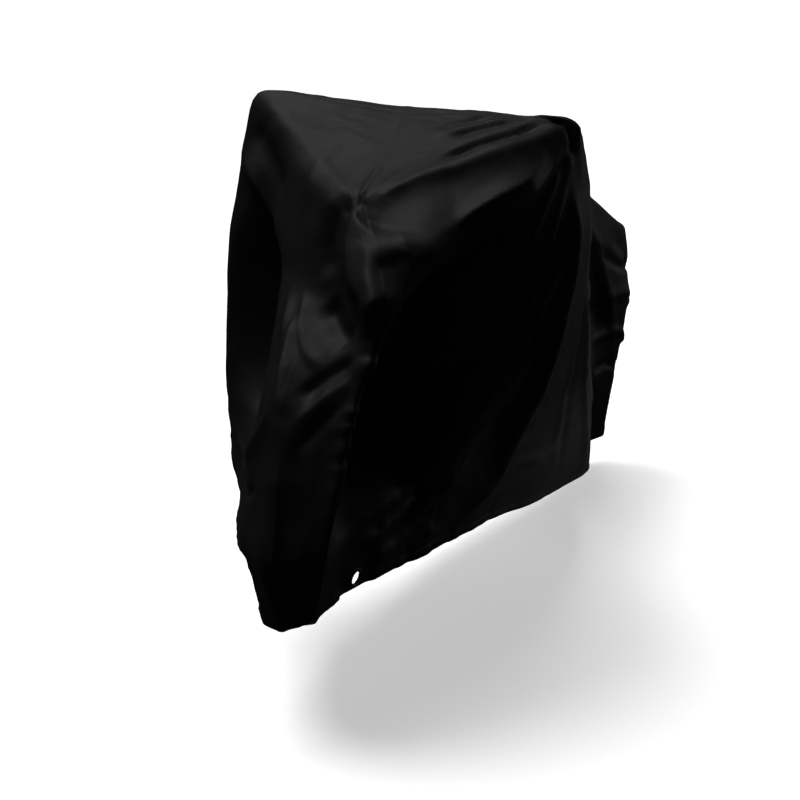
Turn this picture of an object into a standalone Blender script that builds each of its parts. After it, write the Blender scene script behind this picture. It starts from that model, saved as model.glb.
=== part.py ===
"""A fitted bicycle cover, as it hangs over a bicycle that leans on its kickstand.

X runs to the rider's left, Y from front to rear and Z up. The bicycle itself is
not modelled: its bar, saddle, luggage rack and tyres only give the cloth its shape.
"""
import math
from collections import namedtuple

import bmesh
import bpy
import numpy as np
from mathutils import Matrix, Vector

for old in list(bpy.data.objects):
    bpy.data.objects.remove(old, do_unlink=True)

# The bar that carries the cloth, above the ground and behind the front axle.
BAR_TOP = 1.055
BAR_SETBACK = 0.107
LEAN_AT_BAR = 0.107

# The cloth, its seams and how softly it turns over what carries it.
CLOTH_THICKNESS = 0.0024
SEAM_GAP = 0.0004
CORNER_DRAW = 3
NORMAL_PASSES = 3
TURN_ALONG = 0.17
TURN_DOWN = 0.15
TURN_REACH = 1.5
TURN_SAMPLES = 7
EDGE_DRAW = 0.7 * SEAM_GAP

# How a fold fades: toward its own ends, and toward the seams it must not disturb.
FOLD_SAMPLES = 9
FOLD_END_SHARE = 0.25
FOLD_END_LENGTH = 0.18
TOP_FADE = 0.4
FRONT_FADE = 0.3
REAR_FADE = 0.4

# The eyelets in the two strips by the front wheel.
EYELET_BORE = 0.0125
EYELET_WALL = 0.0011
EYELET_FLANGE = 0.0205
EYELET_FIT = 0.0004
EYELET_SIDES = 24
EYELET_SPAN = 0.05
PAD_FLAT = 0.036
PAD_BLEND = 0.066
STRIP_TOP = 4.68
STRIP_SPANS = {"left": (0.25, 2.0), "right": (2.5, 4.0)}

# The origin lies just under the cloth, where the bar's middle holds it up.
ORIGIN = np.array([LEAN_AT_BAR, BAR_SETBACK, BAR_TOP - CLOTH_THICKNESS])

# The seam over the top joins the two panels. Its points are named for what lies below.
SeamPoint = namedtuple("SeamPoint", "over place")
TOP_SEAM = [
    SeamPoint("lamp", (0.170, -0.146, 0.908)),
    SeamPoint("lamp bracket", (0.153, -0.070, 0.945)),
    SeamPoint("cables", (0.136, 0.000, 0.988)),
    SeamPoint("stem", (0.119, 0.060, 1.028)),
    SeamPoint("bar", (LEAN_AT_BAR, BAR_SETBACK, BAR_TOP)),
    SeamPoint("behind the bar", (0.103, 0.220, 1.016)),
    SeamPoint("top tube", (0.098, 0.500, 0.948)),
    SeamPoint("saddle", (0.092, 0.880, 0.938)),
    SeamPoint("rack", (0.085, 1.130, 0.812)),
    SeamPoint("rack end", (0.080, 1.290, 0.800)),
    SeamPoint("tail lamp", (0.076, 1.368, 0.780)),
]

# Each station is a line down one side, with five heights from shoulder to hem.
Station = namedtuple("Station", "name shoulder upper middle low hem")
FRONT_SEAM = Station("front seam", (0.190, -0.156, 0.868), (0.240, -0.150, 0.745),
                     (0.236, -0.262, 0.580), (0.224, -0.318, 0.350), (0.158, -0.272, 0.208))
REAR_SEAM = Station("rear seam", (0.070, 1.412, 0.742), (0.062, 1.430, 0.640),
                    (0.052, 1.436, 0.500), (0.036, 1.418, 0.330), (0.020, 1.385, 0.130))
LEFT = [
    FRONT_SEAM,
    Station("wheel", (0.262, -0.020, 0.932), (0.266, -0.020, 0.775),
            (0.178, -0.130, 0.560), (0.145, -0.165, 0.350), (0.120, -0.115, 0.192)),
    Station("hollow", (0.322, 0.058, 0.968), (0.292, 0.085, 0.800),
            (0.190, 0.040, 0.570), (0.148, 0.050, 0.360), (0.135, 0.080, 0.180)),
    Station("fan of folds", (0.368, 0.126, 1.006), (0.340, 0.165, 0.830),
            (0.262, 0.180, 0.585), (0.200, 0.210, 0.370), (0.156, 0.260, 0.176)),
    Station("grip", (0.404, 0.186, 1.036), (0.396, 0.245, 0.850),
            (0.345, 0.330, 0.600), (0.258, 0.400, 0.380), (0.188, 0.470, 0.178)),
    Station("corner", (0.400, 0.213, 1.028), (0.389, 0.312, 0.840),
            (0.362, 0.425, 0.600), (0.315, 0.590, 0.380), (0.248, 0.765, 0.190)),
    Station("brake", (0.230, 0.480, 0.900), (0.245, 0.560, 0.770),
            (0.238, 0.680, 0.580), (0.207, 0.830, 0.370), (0.163, 0.940, 0.168)),
    Station("saddle", (0.165, 0.860, 0.880), (0.165, 0.900, 0.750),
            (0.145, 0.980, 0.560), (0.138, 1.040, 0.360), (0.112, 1.080, 0.152)),
    Station("rack", (0.158, 1.180, 0.780), (0.170, 1.205, 0.700),
            (0.174, 1.215, 0.540), (0.152, 1.220, 0.330), (0.128, 1.220, 0.140)),
    Station("rack end", (0.112, 1.355, 0.760), (0.118, 1.375, 0.655),
            (0.118, 1.378, 0.500), (0.100, 1.370, 0.330), (0.085, 1.345, 0.132)),
    REAR_SEAM,
]
RIGHT = [
    FRONT_SEAM,
    Station("wheel front", (0.112, -0.140, 0.890), (0.135, -0.205, 0.740),
            (0.130, -0.315, 0.560), (0.125, -0.372, 0.340), (0.118, -0.312, 0.200)),
    Station("wheel side", (0.002, -0.078, 0.955), (0.005, -0.150, 0.780),
            (0.040, -0.250, 0.580), (0.022, -0.306, 0.350), (0.068, -0.292, 0.196)),
    Station("hollow", (-0.086, -0.030, 1.026), (-0.100, -0.060, 0.800),
            (-0.090, -0.085, 0.580), (-0.072, -0.190, 0.350), (-0.006, -0.200, 0.172)),
    Station("grip", (-0.176, 0.008, 1.098), (-0.220, -0.032, 0.830),
            (-0.232, -0.048, 0.600), (-0.214, -0.062, 0.370), (-0.060, -0.070, 0.154)),
    Station("behind the grip", (-0.130, 0.120, 1.030), (-0.200, 0.080, 0.800),
            (-0.210, 0.110, 0.590), (-0.180, 0.150, 0.370), (-0.076, 0.190, 0.155)),
    Station("brake", (-0.035, 0.440, 0.910), (-0.120, 0.400, 0.780),
            (-0.140, 0.430, 0.590), (-0.115, 0.460, 0.370), (-0.080, 0.500, 0.160)),
    Station("saddle", (0.015, 0.840, 0.885), (-0.012, 0.850, 0.760),
            (-0.035, 0.870, 0.565), (-0.040, 0.880, 0.365), (-0.040, 0.900, 0.160)),
    Station("rack", (0.006, 1.180, 0.780), (-0.018, 1.205, 0.700),
            (-0.040, 1.215, 0.540), (-0.046, 1.220, 0.335), (-0.045, 1.220, 0.142)),
    Station("rack end", (0.038, 1.355, 0.760), (0.018, 1.375, 0.655),
            (-0.004, 1.378, 0.500), (-0.010, 1.370, 0.330), (-0.015, 1.345, 0.134)),
    REAR_SEAM,
]

# Folds run from one place to another on a side, each place a station number and a
# height number. A positive rise stands out of the cloth and a negative one sinks in.
Fold = namedtuple("Fold", "side name start end rise width")
FOLDS = [
    Fold("left", "swag edge", (0.1, 2.0), (3.0, 1.40), 0.018, 0.030),
    Fold("left", "under the swag", (0.4, 2.40), (2.8, 1.85), -0.030, 0.050),
    Fold("left", "band below the ridge", (0.3, 1.15), (3.6, 1.05), 0.008, 0.022),
    Fold("left", "furrow at the grip", (1.6, 0.50), (3.7, 0.80), -0.009, 0.022),
    Fold("left", "first long fold", (3.7, 1.3), (1.2, 4.5), 0.018, 0.028),
    Fold("left", "between long folds", (3.8, 1.7), (1.9, 4.4), -0.016, 0.030),
    Fold("left", "second long fold", (3.9, 1.6), (2.6, 4.3), 0.018, 0.028),
    Fold("left", "dark wedge", (4.0, 2.6), (3.3, 4.5), -0.024, 0.042),
    Fold("left", "rear pull", (5.3, 1.4), (7.4, 4.4), 0.014, 0.050),
    Fold("left", "behind the saddle", (6.2, 1.1), (7.6, 3.6), -0.014, 0.055),
    Fold("left", "rear pinch", (7.9, 1.6), (9.3, 2.4), -0.018, 0.036),
    Fold("left", "rear swell", (8.0, 2.7), (9.4, 2.9), 0.014, 0.040),
    Fold("right", "leaf", (0.35, 1.1), (0.12, 2.2), 0.012, 0.024),
    Fold("right", "grip ridge", (3.9, 0.95), (0.5, 1.0), 0.010, 0.026),
    Fold("right", "front ridge", (2.1, 1.4), (2.2, 3.2), 0.016, 0.032),
    Fold("right", "front crease", (0.2, 2.6), (1.8, 2.4), -0.010, 0.024),
    Fold("right", "side hollow", (3.1, 1.3), (3.0, 3.7), -0.020, 0.055),
    Fold("right", "long fold", (4.3, 1.2), (6.4, 4.6), 0.018, 0.040),
    Fold("right", "second fold", (4.6, 1.8), (7.3, 4.5), -0.016, 0.050),
    Fold("right", "short fold", (4.2, 2.0), (4.9, 4.7), 0.014, 0.032),
    Fold("right", "behind the saddle", (6.4, 1.1), (8.0, 3.4), -0.014, 0.055),
]

# An eyelet ring's crown: radius, and height as a share of its flat face's.
RING_LIP = 0.0004
RING_CROWN = [(EYELET_BORE, 0.55), (EYELET_BORE + 0.0012, 1.15), (EYELET_BORE + 0.0034, 1.3),
              (EYELET_FLANGE - 0.0016, 1.0)]

# Where the eyelets lie, as a station number and a height number.
EYELETS = {"left": (1.1, 4.86), "right": (3.3, 4.84)}

HEIGHTS = 5
STATIONS = len(TOP_SEAM) - 1
OUTWARD = {"left": 1, "right": -1}

# The grid's lines lie closer together by the eyelets and where the cloth turns most.
STATION_LINES = np.concatenate([np.arange(0, 5, 0.125), np.linspace(5, STATIONS, 21)])
HEIGHT_LINES = np.concatenate([np.arange(0, 1.0, 0.2), np.arange(1.0, 4.0, 0.25),
                               [4.0, 4.24, 4.48, STRIP_TOP, 4.76, 4.84, 4.92, 5.0]])


def control_net():
    """The ring of stations, from hem to hem over the top: columns by rows by three."""
    sides = {}
    for name, stations in (("left", LEFT), ("right", RIGHT)):
        sides[name] = np.array([[seam.place, s.shoulder, s.upper, s.middle, s.low, s.hem]
                                for seam, s in zip(TOP_SEAM, stations)])
    ring = [("left", i) for i in range(STATIONS)]
    ring += [("right", i) for i in range(STATIONS, 0, -1)]
    other = {"left": "right", "right": "left"}
    net = []
    for side, i in ring:
        near, far = sides[side][i], sides[other[side]][i]
        net.append(np.concatenate([far[:0:-1], near]))
    return np.array(net)


NET = control_net()


def net_point(u, v):
    """The straight-sided net at ring place u and height v, for arrays of both."""
    columns = len(NET)
    u = np.mod(u, columns)
    i = np.minimum(u.astype(int), columns - 1)
    fu = (u - i)[..., None]
    row = np.clip(np.floor(v).astype(int), -HEIGHTS, HEIGHTS - 1)
    fv = (v - row)[..., None]
    j = row + HEIGHTS
    k = (i + 1) % columns
    lower = NET[i, j] * (1 - fu) + NET[k, j] * fu
    upper = NET[i, j + 1] * (1 - fu) + NET[k, j + 1] * fu
    return lower * (1 - fv) + upper * fv


def rounded(u, v):
    """The net softened over its corners, as cloth turns over what carries it."""
    u, v = np.broadcast_arrays(np.asarray(u, float), np.asarray(v, float))
    steps = np.linspace(-TURN_REACH, TURN_REACH, TURN_SAMPLES)
    weights = np.exp(-steps ** 2)
    total = np.zeros(u.shape + (3,))
    for a, wa in zip(steps, weights):
        for b, wb in zip(steps, weights):
            total += wa * wb * net_point(u + a * TURN_ALONG, v + b * TURN_DOWN)
    return total / weights.sum() ** 2


def ring_place(side, station):
    """A side's station number as a place on the ring."""
    if side == "left":
        return np.asarray(station, float)
    return len(NET) - np.asarray(station, float)


def near_line(points, line):
    """Each point's distance to a line of points, and how far along that nearest place is."""
    best = np.full(points.shape[:-1], np.inf)
    along = np.zeros(points.shape[:-1])
    last = len(line) - 1
    for k, (a, b) in enumerate(zip(line[:-1], line[1:])):
        run = b - a
        t = np.clip(((points - a) @ run) / (run @ run), 0, 1)
        gap = np.linalg.norm(points - (a + t[..., None] * run), axis=-1)
        closer = gap < best
        best = np.where(closer, gap, best)
        along = np.where(closer, (k + t) / last, along)
    return best, along


def side_normals(side, points):
    """One side's normals, which point out of the cover, longer where the cells are larger."""
    along = np.gradient(points, axis=0)
    down = np.gradient(points, axis=1)
    return np.cross(down, along) * OUTWARD[side]


def unit(vectors):
    return vectors / np.linalg.norm(vectors, axis=-1, keepdims=True)


def smooth(t):
    """An even step from 0 to 1, held at both ends."""
    t = np.clip(t, 0, 1)
    return t * t * (3 - 2 * t)


def add_folds(side, points, stations, heights):
    """Raise and sink one side's folds along the cloth's own normals."""
    normals = unit(side_normals(side, points))
    lift = np.zeros(points.shape[:-1])
    for fold in FOLDS:
        if fold.side != side:
            continue
        t = np.linspace(0, 1, FOLD_SAMPLES)
        u = fold.start[0] + t * (fold.end[0] - fold.start[0])
        v = fold.start[1] + t * (fold.end[1] - fold.start[1])
        gap, along = near_line(points, rounded(ring_place(side, u), v))
        body = smooth(np.minimum(along, 1 - along) / FOLD_END_LENGTH)
        taper = FOLD_END_SHARE + (1 - FOLD_END_SHARE) * body
        lift += fold.rise * taper * np.exp(-(gap / fold.width) ** 2)
    edge = np.clip(heights / TOP_FADE, 0, 1)[None, :]
    front = np.clip(stations / FRONT_FADE, 0, 1)[:, None]
    rear = np.clip((STATIONS - stations) / REAR_FADE, 0, 1)[:, None]
    return points + normals * (lift * edge * front * rear)[..., None]


def eyelet_seat(side):
    """The point on the cloth's outer face where an eyelet is set, and its outward axis."""
    station, height = EYELETS[side]
    d = EYELET_SPAN
    u = ring_place(side, np.array([station, station - d, station + d, station, station]))
    v = np.array([height, height, height, height - d, height + d])
    centre, fore, aft, above, below = rounded(u, v)
    axis = unit(np.cross(below - above, aft - fore) * OUTWARD[side])
    return centre, axis


def flatten_pad(side, points):
    """Press the cloth flat around the eyelet, so that the ring grips it squarely."""
    centre, axis = eyelet_seat(side)
    off = (points - centre) @ axis
    reach = np.linalg.norm(points - centre - off[..., None] * axis, axis=-1)
    t = smooth((PAD_BLEND - reach) / (PAD_BLEND - PAD_FLAT))
    t = np.where(np.abs(off) < PAD_BLEND, t, 0)
    return points - (off * t)[..., None] * axis


def even_normals(normals):
    """The normals, shared on the seams and evened so that narrow ridges stay open inside."""
    normals = {side: unit(normals[side]) for side in normals}
    left, right = normals["left"], normals["right"]
    seams = (((slice(None), 0), (slice(None), 1)), ((0, slice(None)), (1, slice(None))),
             ((-1, slice(None)), (-2, slice(None))))
    for _ in range(NORMAL_PASSES):
        for on, beside in seams:
            both = unit(left[on] + right[on] + left[beside] + right[beside])
            left[on] = both
            right[on] = both
        for n in (left, right):
            around = n[:-2, 1:-1] + n[2:, 1:-1] + n[1:-1, :-2] + n[1:-1, 2:]
            n[1:-1, 1:-1] = unit(n[1:-1, 1:-1] + around / 2)
    return normals


def cloth_faces():
    """The outer and inner faces of both sides, on grids that share their seams."""
    points = {}
    for side in OUTWARD:
        u = ring_place(side, STATION_LINES)[:, None]
        grid = rounded(u, HEIGHT_LINES[None, :])
        grid = add_folds(side, grid, STATION_LINES, HEIGHT_LINES)
        points[side] = flatten_pad(side, grid)
    normals = even_normals({side: side_normals(side, points[side]) for side in OUTWARD})
    outer = {side: points[side] - ORIGIN for side in OUTWARD}
    inner = {side: outer[side] - normals[side] * CLOTH_THICKNESS for side in OUTWARD}
    return outer, inner


def draw_back(points, cells):
    """How far each point of a piece's edge is drawn back, to leave a gap at its seams."""
    shift = np.zeros_like(points)
    count = np.zeros(points.shape[:-1])
    corners = (points[:-1, :-1], points[1:, :-1], points[:-1, 1:], points[1:, 1:])
    middle = sum(corners) / 4
    for di in (0, 1):
        for dj in (0, 1):
            place = (slice(di, di + cells.shape[0]), slice(dj, dj + cells.shape[1]))
            shift[place] += unit(middle - points[place]) * cells[..., None]
            count[place] += cells
    on_edge = (count > 0) & (count < 4)
    shift[on_edge] = unit(shift[on_edge]) * EDGE_DRAW
    shift[count == 1] *= CORNER_DRAW
    shift[~on_edge] = 0
    return shift


def finish(name, bm, material, smooth_angle):
    """Turn a bmesh into an object with its own material."""
    mesh = bpy.data.meshes.new(name)
    bm.to_mesh(mesh)
    bm.free()
    mesh.materials.append(material)
    mesh.shade_smooth()
    mesh.set_sharp_from_angle(angle=smooth_angle)
    piece = bpy.data.objects.new(name, mesh)
    bpy.context.collection.objects.link(piece)
    return piece


def cloth_piece(name, side, outer, inner, cells, material):
    """One cut of cloth: the chosen cells of a side's grid, closed around the edge."""
    shift = draw_back(outer, cells)
    bm = bmesh.new()
    verts = {}

    def vert(layer, i, j):
        key = (layer, i, j)
        if key not in verts:
            grid = outer if layer == "outer" else inner
            verts[key] = bm.verts.new(grid[i, j] + shift[i, j])
        return verts[key]

    for i, j in zip(*np.nonzero(cells)):
        a, b, c, d = (i, j), (i, j + 1), (i + 1, j + 1), (i + 1, j)
        # Each half is split from its own end seam, so that no triangle spans a corner.
        halves = ((a, b, c), (a, c, d)) if i < cells.shape[0] / 2 else ((a, b, d), (d, b, c))
        for half in halves:
            bm.faces.new([vert("outer", *p) for p in half])
            bm.faces.new([vert("inner", *p) for p in reversed(half)])
    rim = [edge for edge in bm.edges if edge.is_boundary and edge.verts[0] in verts.values()]
    back = {v: k for k, v in verts.items()}
    for edge in rim:
        a, b = (back[v] for v in edge.verts)
        if a[0] == "inner":
            continue
        bm.faces.new([vert("outer", *a[1:]), vert("outer", *b[1:]),
                      vert("inner", *b[1:]), vert("inner", *a[1:])])
    bmesh.ops.triangulate(bm, faces=bm.faces)
    bmesh.ops.recalc_face_normals(bm, faces=bm.faces)
    if bm.calc_volume(signed=True) < 0:
        bmesh.ops.reverse_faces(bm, faces=bm.faces)
    return finish(name, bm, material, math.radians(50))


def seat_matrix(side):
    """Places a piece turned about Z on the middle of the cloth at an eyelet."""
    centre, axis = eyelet_seat(side)
    middle = centre - ORIGIN - axis * CLOTH_THICKNESS / 2
    turn = Vector((0, 0, 1)).rotation_difference(Vector(axis)).to_matrix().to_4x4()
    return Matrix.Translation(Vector(middle)) @ turn


def punch_eyelet(strip, side):
    """Cut the round hole that the ring's barrel fills."""
    bm = bmesh.new()
    radius = EYELET_BORE + EYELET_WALL + EYELET_FIT
    bmesh.ops.create_cone(bm, cap_ends=True, segments=EYELET_SIDES, radius1=radius,
                          radius2=radius, depth=PAD_FLAT)
    mesh = bpy.data.meshes.new(side + "_punch")
    bm.to_mesh(mesh)
    bm.free()
    punch = bpy.data.objects.new(side + "_punch", mesh)
    bpy.context.collection.objects.link(punch)
    punch.matrix_world = seat_matrix(side)
    punch.hide_render = True
    punch.display_type = "WIRE"
    cut = strip.modifiers.new("eyelet", "BOOLEAN")
    cut.operation = "DIFFERENCE"
    cut.solver = "EXACT"
    cut.object = punch


def eyelet_ring(name, side, material):
    """A turned ring whose two flanges hold the cloth between them."""
    seat = CLOTH_THICKNESS / 2 + EYELET_FIT
    face = seat + EYELET_WALL
    barrel = EYELET_BORE + EYELET_WALL
    half = [(r, face * share) for r, share in RING_CROWN]
    half += [(EYELET_FLANGE, seat + RING_LIP), (EYELET_FLANGE, seat), (barrel, seat)]
    profile = half + [(r, -h) for r, h in reversed(half)]
    bm = bmesh.new()
    rings = []
    for k in range(EYELET_SIDES):
        angle = math.tau * k / EYELET_SIDES
        rings.append([bm.verts.new((r * math.cos(angle), r * math.sin(angle), h))
                      for r, h in profile])
    for near, far in zip(rings, rings[1:] + rings[:1]):
        for m in range(len(profile)):
            n = (m + 1) % len(profile)
            bm.faces.new([near[m], far[m], far[n], near[n]])
    bmesh.ops.recalc_face_normals(bm, faces=bm.faces)
    if bm.calc_volume(signed=True) < 0:
        bmesh.ops.reverse_faces(bm, faces=bm.faces)
    ring = finish(name, bm, material, math.radians(40))
    ring.matrix_world = seat_matrix(side)
    return ring


def make_material(name, colour, roughness, metallic):
    material = bpy.data.materials.new(name)
    material.use_nodes = True
    shader = material.node_tree.nodes["Principled BSDF"]
    shader.inputs["Base Color"].default_value = (*colour, 1)
    shader.inputs["Roughness"].default_value = roughness
    shader.inputs["Metallic"].default_value = metallic
    return material


def strip_cells(side):
    """The cells of the hem strip that holds an eyelet."""
    front, rear = STRIP_SPANS[side]
    u = (STATION_LINES[:-1] + STATION_LINES[1:]) / 2
    v = (HEIGHT_LINES[:-1] + HEIGHT_LINES[1:]) / 2
    return ((u > front) & (u < rear))[:, None] & (v > STRIP_TOP)[None, :]


def build():
    outer, inner = cloth_faces()
    for side in OUTWARD:
        in_strip = strip_cells(side)
        panel_cloth = make_material(side + " panel cloth", (0.012, 0.012, 0.013), 0.42, 0)
        strip_cloth = make_material(side + " strip cloth", (0.014, 0.014, 0.015), 0.48, 0)
        ring_metal = make_material(side + " ring metal", (0.05, 0.05, 0.055), 0.35, 1)
        cloth_piece(side + "_panel", side, outer[side], inner[side], ~in_strip, panel_cloth)
        strip = cloth_piece(side + "_eyelet_strip", side, outer[side], inner[side],
                            in_strip, strip_cloth)
        punch_eyelet(strip, side)
        eyelet_ring(side + "_eyelet_ring", side, ring_metal)


build()
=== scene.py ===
import math

import bpy
import numpy as np
from mathutils import Matrix, Vector


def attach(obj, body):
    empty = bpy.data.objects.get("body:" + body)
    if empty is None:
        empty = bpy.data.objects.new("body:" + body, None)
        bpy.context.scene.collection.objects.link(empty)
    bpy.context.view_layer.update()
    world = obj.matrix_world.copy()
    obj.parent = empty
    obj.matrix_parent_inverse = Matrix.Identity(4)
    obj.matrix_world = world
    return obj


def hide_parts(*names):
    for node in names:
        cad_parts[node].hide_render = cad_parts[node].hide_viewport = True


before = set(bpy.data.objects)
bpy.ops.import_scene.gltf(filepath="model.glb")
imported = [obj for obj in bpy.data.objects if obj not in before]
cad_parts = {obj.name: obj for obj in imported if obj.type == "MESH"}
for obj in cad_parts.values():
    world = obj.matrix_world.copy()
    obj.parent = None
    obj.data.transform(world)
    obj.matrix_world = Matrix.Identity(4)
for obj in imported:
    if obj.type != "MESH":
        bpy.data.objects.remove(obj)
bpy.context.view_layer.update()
print("frame loaded")

# The cloth's shape, as stations down each side: x to the rider's left, y rearward
# from the front axle, z above the ground.
shape = {
    "origin": np.array([0.107, 0.107, 1.0526]),  # under the cloth, at the bar's middle
    "turnAlong": 0.17,  # how softly the cloth turns, in stations and heights
    "turnDown": 0.15,
    "turnReach": 1.5,  # how far out the softening looks, in turns
    "turnSteps": 7,
    "thickness": 0.0016,
    "sharpAngle": math.radians(60),
    "stations": 10,
    "heights": 5,
}

topSeam = [
    (0.170, -0.146, 0.908),  # lamp
    (0.153, -0.070, 0.945),  # lamp bracket
    (0.136, 0.000, 0.988),  # cables
    (0.119, 0.060, 1.028),  # stem
    (0.107, 0.107, 1.055),  # bar
    (0.103, 0.220, 1.016),  # behind the bar
    (0.098, 0.500, 0.948),  # top tube
    (0.092, 0.880, 0.938),  # saddle
    (0.085, 1.130, 0.812),  # rack
    (0.080, 1.290, 0.800),  # rack end
    (0.076, 1.368, 0.780),  # tail lamp
]

# Each row is one station's shoulder, upper, middle, low and hem.
frontEdge = [(0.190, -0.156, 0.868), (0.262, -0.198, 0.752), (0.236, -0.262, 0.580),
             (0.224, -0.318, 0.350), (0.158, -0.272, 0.208)]
rearEdge = [(0.070, 1.412, 0.742), (0.062, 1.430, 0.640), (0.052, 1.436, 0.500),
            (0.036, 1.418, 0.330), (0.020, 1.385, 0.130)]
leftSide = [
    frontEdge,
    [(0.262, -0.020, 0.932), (0.306, -0.090, 0.785), (0.178, -0.130, 0.560),
     (0.145, -0.165, 0.350), (0.120, -0.115, 0.192)],  # wheel
    [(0.322, 0.058, 0.968), (0.342, -0.014, 0.811), (0.190, 0.040, 0.570),
     (0.148, 0.050, 0.360), (0.135, 0.080, 0.180)],  # hollow
    [(0.368, 0.126, 1.006), (0.371, 0.094, 0.837), (0.262, 0.180, 0.585),
     (0.200, 0.210, 0.370), (0.156, 0.260, 0.176)],  # fan of folds
    [(0.404, 0.186, 1.036), (0.396, 0.245, 0.850), (0.345, 0.330, 0.600),
     (0.258, 0.400, 0.380), (0.188, 0.470, 0.178)],  # grip
    [(0.400, 0.213, 1.028), (0.389, 0.312, 0.840), (0.362, 0.425, 0.600),
     (0.315, 0.590, 0.380), (0.248, 0.765, 0.190)],  # corner
    [(0.230, 0.480, 0.900), (0.245, 0.560, 0.770), (0.238, 0.680, 0.580),
     (0.207, 0.830, 0.370), (0.163, 0.940, 0.168)],  # brake
    [(0.165, 0.860, 0.880), (0.165, 0.900, 0.750), (0.145, 0.980, 0.560),
     (0.138, 1.040, 0.360), (0.112, 1.080, 0.152)],  # saddle
    [(0.158, 1.180, 0.780), (0.170, 1.205, 0.700), (0.174, 1.215, 0.540),
     (0.152, 1.220, 0.330), (0.128, 1.220, 0.140)],  # rack
    [(0.112, 1.355, 0.760), (0.118, 1.375, 0.655), (0.118, 1.378, 0.500),
     (0.100, 1.370, 0.330), (0.085, 1.345, 0.132)],  # rack end
    rearEdge,
]
rightSide = [
    frontEdge,
    [(0.120, -0.151, 0.891), (0.113, -0.176, 0.738), (0.130, -0.315, 0.560),
     (0.125, -0.372, 0.340), (0.118, -0.312, 0.200)],  # wheel front
    [(0.002, -0.078, 0.955), (0.005, -0.150, 0.780), (0.040, -0.250, 0.580),
     (0.022, -0.306, 0.350), (0.068, -0.292, 0.196)],  # wheel side
    [(-0.086, -0.030, 1.026), (-0.100, -0.060, 0.800), (-0.090, -0.085, 0.580),
     (-0.072, -0.190, 0.350), (-0.006, -0.200, 0.172)],  # hollow
    [(-0.176, 0.008, 1.098), (-0.220, -0.032, 0.830), (-0.232, -0.048, 0.600),
     (-0.214, -0.062, 0.370), (-0.060, -0.070, 0.154)],  # grip
    [(-0.130, 0.120, 1.030), (-0.200, 0.080, 0.800), (-0.210, 0.110, 0.590),
     (-0.180, 0.150, 0.370), (-0.076, 0.190, 0.155)],  # behind the grip
    [(-0.035, 0.440, 0.910), (-0.120, 0.400, 0.780), (-0.140, 0.430, 0.590),
     (-0.115, 0.460, 0.370), (-0.080, 0.500, 0.160)],  # brake
    [(0.015, 0.840, 0.885), (-0.012, 0.850, 0.760), (-0.035, 0.870, 0.565),
     (-0.040, 0.880, 0.365), (-0.040, 0.900, 0.160)],  # saddle
    [(0.006, 1.180, 0.780), (-0.018, 1.205, 0.700), (-0.040, 1.215, 0.540),
     (-0.046, 1.220, 0.335), (-0.045, 1.220, 0.142)],  # rack
    [(0.038, 1.355, 0.760), (0.018, 1.375, 0.655), (-0.004, 1.378, 0.500),
     (-0.010, 1.370, 0.330), (-0.015, 1.345, 0.134)],  # rack end
    rearEdge,
]
outward = {"left": 1, "right": -1}


def controlNet():
    # a ring of stations, each from one hem over the top to the other
    sides = {}
    for side, rows in (("left", leftSide), ("right", rightSide)):
        sides[side] = np.array([[top] + row for top, row in zip(topSeam, rows)])
    count = shape["stations"]
    ring = [("left", "right", i) for i in range(count)]
    ring += [("right", "left", i) for i in range(count, 0, -1)]
    return np.array([np.concatenate([sides[far][i][:0:-1], sides[near][i]])
                     for near, far, i in ring])


net = controlNet()


def netPoint(u, v):
    columns = len(net)
    u = np.mod(u, columns)
    i = np.minimum(u.astype(int), columns - 1)
    fu = (u - i)[..., None]
    tall = shape["heights"]
    row = np.clip(np.floor(v).astype(int), -tall, tall - 1)
    fv = (v - row)[..., None]
    j = row + tall
    k = (i + 1) % columns
    lower = net[i, j] * (1 - fu) + net[k, j] * fu
    upper = net[i, j + 1] * (1 - fu) + net[k, j + 1] * fu
    return lower * (1 - fv) + upper * fv


def bell(x):
    return np.exp(-x * x)


def rounded(u, v):
    # the net, softened over its corners
    u, v = np.broadcast_arrays(np.asarray(u, float), np.asarray(v, float))
    steps = np.linspace(-shape["turnReach"], shape["turnReach"], shape["turnSteps"])
    weights = bell(steps)
    total = np.zeros(u.shape + (3,))
    for a, wa in zip(steps, weights):
        for b, wb in zip(steps, weights):
            total += wa * wb * netPoint(u + a * shape["turnAlong"], v + b * shape["turnDown"])
    return total / weights.sum() ** 2


def ringPlace(side, station):
    station = np.asarray(station, float)
    return station if side == "left" else len(net) - station


def unit(vectors):
    return vectors / np.linalg.norm(vectors, axis=-1, keepdims=True)


def smooth(t):
    t = np.clip(t, 0, 1)
    return t * t * (3 - 2 * t)


foldForm = {
    "sideBlend": 0.004,  # the width over which a line's two sides meet
    "blunt": 0.16,  # how rounded a crest is, as a share of its width
    "bluntLeast": 0.003,  # and what every crest has on top of that
    "flank": 1.5,  # how fast a crest falls away
    "endRise": 0.15,  # the share of its rise that a fold keeps at its ends
    "endReach": 0.22,  # the share of its length that its ends take up
    "lineSteps": 8,  # points on its line for each pair of places
}


def nearLine(points, line, normals):
    # how far each point lies from a line of points, how far along it, and on which side
    best = np.full(points.shape[:-1], np.inf)
    along = np.zeros(points.shape[:-1])
    beside = np.zeros(points.shape[:-1])
    last = len(line) - 1
    for k, (a, b) in enumerate(zip(line[:-1], line[1:])):
        run = b - a
        t = np.clip(((points - a) @ run) / (run @ run), 0, 1)
        off = points - (a + t[..., None] * run)
        gap = np.linalg.norm(off, axis=-1)
        closer = gap < best
        best = np.where(closer, gap, best)
        along = np.where(closer, (k + t) / last, along)
        right = np.cross(run / np.linalg.norm(run), normals)
        beside = np.where(closer, (off * right).sum(-1), beside)
    return best, along, np.tanh(beside / foldForm["sideBlend"])


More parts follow.
